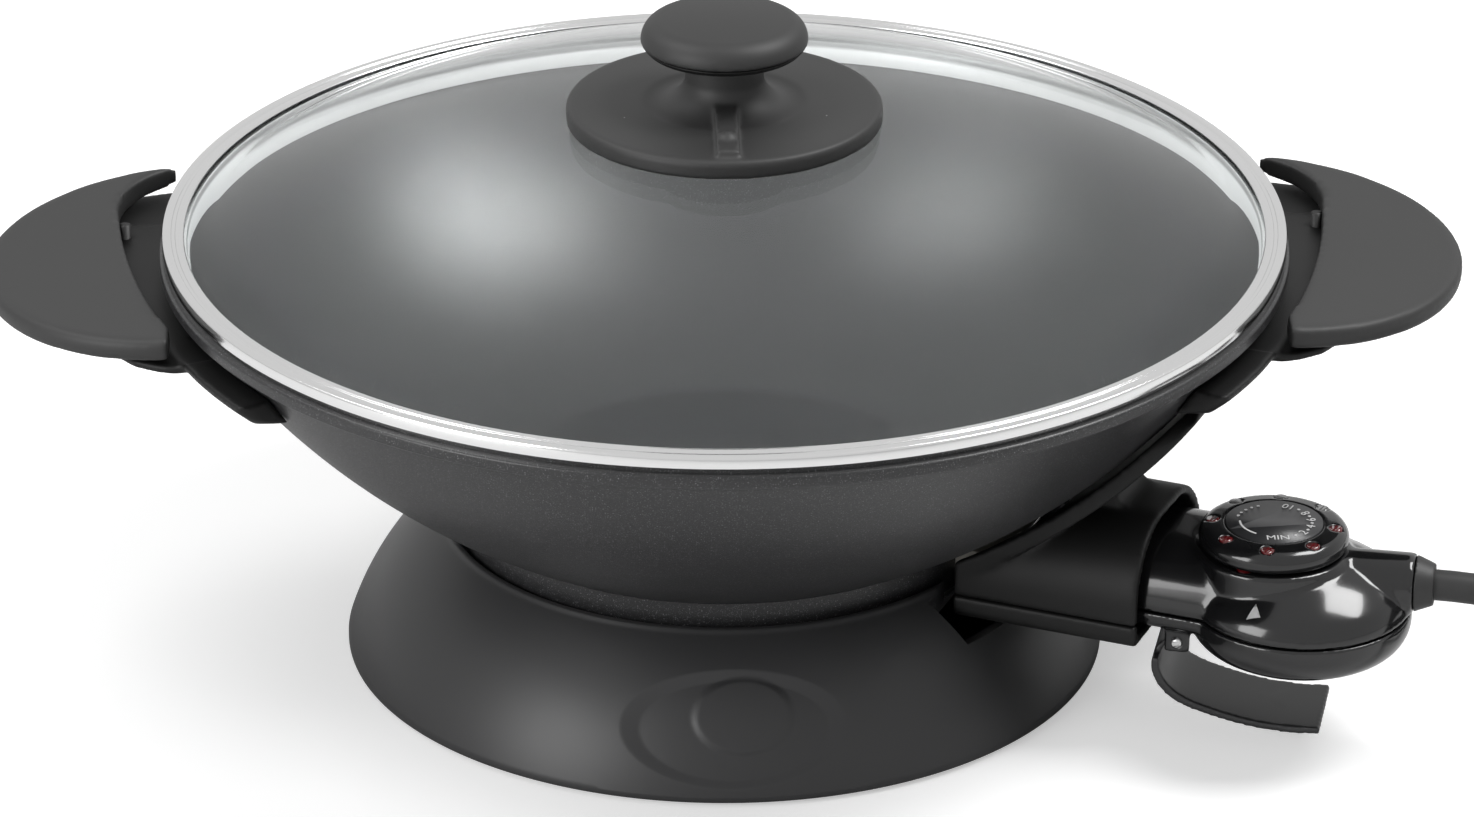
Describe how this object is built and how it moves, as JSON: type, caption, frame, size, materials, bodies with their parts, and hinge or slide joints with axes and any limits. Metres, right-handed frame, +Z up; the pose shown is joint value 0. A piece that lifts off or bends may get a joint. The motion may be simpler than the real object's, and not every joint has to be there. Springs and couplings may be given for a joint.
{
  "type": "electric wok",
  "caption": "Electric wok: coated round pan with loop handles on a flared base, domed glass lid with vent knob, and a plug-in heat probe with dial and cord.",
  "frame": {"origin": "middle of the base on the plane that its feet rest on", "axes": "+Z up, +X towards the right handle, -Y towards the user; the heat probe leaves between +X and -Y"},
  "size_m": [0.6529, 0.36, 0.2165],
  "materials": {
    "steel_bright": "brushed",
    "chrome_trim": "polished",
    "pan_coating": "speckled non-stick coating",
    "base_plastic": "satin moulded",
    "handle_plastic": "fine matt grain",
    "knob_plastic": "fine matt grain",
    "probe_plastic": "glossy moulded",
    "lever_plastic": "satin",
    "lid_glass": "clear tempered",
    "seal_silicone": "smooth",
    "foot_rubber": "smooth",
    "cord_rubber": "ribless sheath",
    "dial_print": "printed",
    "window_red": "clear red",
    "ceramic": "unglazed",
    "phenolic": "matt"
  },
  "bodies": {
    "base": {"base_shell": "base_plastic", "base_floor": "base_plastic", "base_feet": "foot_rubber", "base_screws": "steel_bright", "seat_plate": "steel_bright", "seat_screws": "steel_bright"},
    "pan": {"pan_bowl": "pan_coating", "heating_element": "steel_bright", "terminal_block": "ceramic", "terminal_pins": "steel_bright", "bottom_cover": "steel_bright", "cover_screw": "steel_bright", "handle_guard_left": "phenolic", "handle_guard_right": "phenolic", "handle_grip_left": "handle_plastic", "handle_grip_right": "handle_plastic", "handle_screws": "steel_bright", "guard_screws": "steel_bright", "probe_shroud_upper": "phenolic", "probe_shroud_lower": "phenolic", "shroud_screws": "steel_bright"},
    "lid": {"lid_glass": "lid_glass", "lid_rim": "chrome_trim", "lid_bush": "seal_silicone"},
    "vent": {"vent_dial": "knob_plastic", "vent_shutter": "steel_bright", "knob": "knob_plastic", "knob_base": "phenolic", "knob_washer": "steel_bright", "knob_screw": "steel_bright"},
    "probe": {"probe_top_shell": "probe_plastic", "probe_bottom_shell": "probe_plastic", "probe_screws": "steel_bright", "thermostat_switch": "ceramic", "sensor_rod": "steel_bright", "contact_sockets": "steel_bright", "indicator_lamp": "window_red", "lever_pin": "steel_bright", "lever_spring": "steel_bright", "cord_gland": "cord_rubber", "power_cord": "cord_rubber", "power_cord_coil": "cord_rubber", "power_cord_tail": "cord_rubber", "mains_plug": "cord_rubber", "plug_pins": "steel_bright"},
    "lever": {"release_lever": "lever_plastic"},
    "dial": {"dial_ring": "probe_plastic", "dial_face": "dial_print", "dial_windows": "window_red", "dial_shaft": "steel_bright"}
  },
  "joints": [
    {"name": "pan_lift", "type": "slide", "parent": "base", "child": "pan", "axis": [0, 0, 1], "range_m": [0, 0.06]},
    {"name": "lid_lift", "type": "slide", "parent": "pan", "child": "lid", "axis": [0, 0, 1], "range_m": [0, 0.12]},
    {"name": "vent_turn", "type": "hinge", "parent": "lid", "child": "vent", "pos_m": [0, 0, 0.19], "axis": [0, 0, 1], "range_deg": [-60, 60]},
    {"name": "probe_pull", "type": "slide", "parent": "pan", "child": "probe", "axis": [0.9135, -0.4067, 0], "range_m": [0, 0.12]},
    {"name": "heat_dial", "type": "hinge", "parent": "probe", "child": "dial", "pos_m": [0.17043, -0.07796, 0.0675], "axis": [0, 0, 1], "range_deg": [-290, 0]},
    {"name": "lever_squeeze", "type": "hinge", "parent": "probe", "child": "lever", "pos_m": [0.14309, -0.07192, 0.0366], "axis": [-0.213, -0.977, 0], "range_deg": [0, 8], "stiffness_Nm_per_rad": 0.6, "springref_deg": -1.72}
  ]
}
